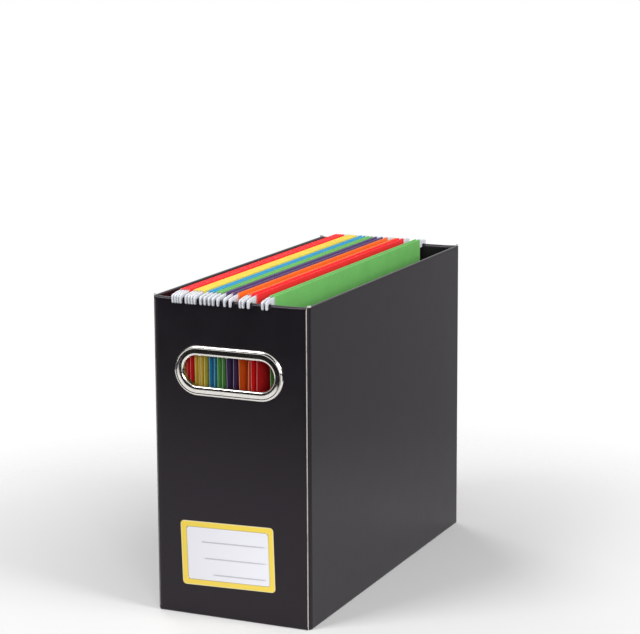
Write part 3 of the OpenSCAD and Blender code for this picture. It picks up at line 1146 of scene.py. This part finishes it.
class FILEBOX_OT_stage(bpy.types.Operator):
    """Makes the floor, the lights and the camera"""
    bl_idname = "filebox.stage"
    bl_label = "Stage"

    def floor(self, stage):
        """A pale disc just under the box that fades out, so that reflections find the cards past it."""
        deselect_all()
        bpy.ops.mesh.primitive_circle_add(vertices=96, radius=6, fill_type="NGON",
                                          location=(0, 0, -0.05 * MM))
        floor = rename("floor")
        f = Finish("floor_paper")
        distance = f.node("ShaderNodeVectorMath", {0: f.place}, operation="LENGTH").outputs["Value"]
        f.set(Base_Color=f.mix(f.noise(3, 2), stage.floor, shade(stage.floor, 1.02)), Roughness=0.8,
              Specular_IOR_Level=0.2, Alpha=f.ramp(distance, 0.15, 0.5, 1, 0))
        paint(floor, [f.material], lambda face: 0)

    def world(self, context, stage):
        """White wherever it is seen directly, in metal or through glass, and a dim even light otherwise."""
        world = bpy.data.worlds.new("studio")
        context.scene.world = world
        n = Nodes(world)
        path = n.node("ShaderNodeLightPath").outputs
        seen = n.math("MAXIMUM", path["Is Camera Ray"], path["Is Glossy Ray"])
        seen = n.math("MAXIMUM", seen, path["Is Transmission Ray"])
        background = n.node("ShaderNodeBackground", {"Color": (1, 1, 1, 1),
                                                     "Strength": n.ramp(seen, 0, 1, stage.fill, 1)})
        output = n.node("ShaderNodeOutputWorld")
        n.link(background.outputs["Background"], output.inputs["Surface"])

    def lamp(self, name, place, size, power):
        deselect_all()
        bpy.ops.object.light_add(type="AREA", location=place)
        lamp = rename(name)
        lamp.data.shape = "RECTANGLE"
        lamp.data.size, lamp.data.size_y = size
        lamp.data.energy = power
        lamp.rotation_euler = (LAMP_TARGET - Vector(place)).to_track_quat("-Z", "Y").to_euler()

    def card(self, name, place, size, turn, grey):
        """A card that only reflections see, as the dark parts of a studio give metal its contrast."""
        deselect_all()
        bpy.ops.mesh.primitive_plane_add(size=1, rotation=(QUARTER, 0, 0))
        card = rename(name)
        card.scale = (*size, 1)
        apply_transform(card)
        card.rotation_euler = (0, 0, turn)
        card.location = place
        apply_transform(card)
        f = Finish(f"{name}_paper")
        f.set(Base_Color=(grey, grey, grey, 1), Roughness=1.0)
        paint(card, [f.material], lambda face: 0)
        card.visible_camera = False
        card.visible_diffuse = False
        card.visible_shadow = False

    def camera(self, context, stage):
        deselect_all()
        bpy.ops.object.camera_add(location=stage.place)
        camera = rename("camera")
        back = Vector((math.sin(stage.azimuth) * math.cos(stage.elevation),
                       -math.cos(stage.azimuth) * math.cos(stage.elevation), math.sin(stage.elevation)))
        camera.rotation_euler = (-back).to_track_quat("-Z", "Y").to_euler()
        camera.data.sensor_width = 36
        camera.data.lens = stage.lens
        camera.data.shift_x, camera.data.shift_y = stage.shift
        context.scene.camera = camera

    def execute(self, context):
        stage = context.scene.stage
        self.floor(stage)
        self.world(context, stage)
        for card in CARDS:
            self.card(*card)
        for lamp in LAMPS:
            self.lamp(*lamp)
        self.camera(context, stage)
        context.scene.view_settings.view_transform = "Standard"
        return {"FINISHED"}


class FILEBOX_PT_panel(bpy.types.Panel):
    """The file box's steps in order, and their settings"""
    bl_idname = "FILEBOX_PT_panel"
    bl_label = "File Box"
    bl_space_type = "VIEW_3D"
    bl_region_type = "UI"
    bl_category = "File Box"

    def draw(self, context):
        for step in STEPS:
            self.layout.operator(step.bl_idname)
        for group in SETTINGS:
            box = self.layout.box()
            owner = getattr(context.scene, group)
            for name in owner.bl_rna.properties.keys():
                if name not in ("rna_type", "name"):
                    box.prop(owner, name)


STEPS = (FILEBOX_OT_base, FILEBOX_OT_end_walls, FILEBOX_OT_side_walls, FILEBOX_OT_rim_flaps,
         FILEBOX_OT_corner_tabs, FILEBOX_OT_handle_rings, FILEBOX_OT_clip_rings, FILEBOX_OT_label,
         FILEBOX_OT_leaves, FILEBOX_OT_rods, FILEBOX_OT_stage)
SETTINGS = {"board": BoardSettings, "ring": RingSettings, "label": LabelSettings,
            "folder": FolderSettings, "stage": StageSettings}


def register():
    for group in SETTINGS.values():
        bpy.utils.register_class(group)
    for name, group in SETTINGS.items():
        setattr(bpy.types.Scene, name, PointerProperty(type=group))
    for step in STEPS:
        bpy.utils.register_class(step)
    bpy.utils.register_class(FILEBOX_PT_panel)


def unregister():
    bpy.utils.unregister_class(FILEBOX_PT_panel)
    for step in reversed(STEPS):
        bpy.utils.unregister_class(step)
    for name, group in SETTINGS.items():
        delattr(bpy.types.Scene, name)
        bpy.utils.unregister_class(group)


def main():
    register()
    for step in STEPS:
        group, name = step.bl_idname.split(".")
        getattr(getattr(bpy.ops, group), name)()


if __name__ == "__main__":
    main()
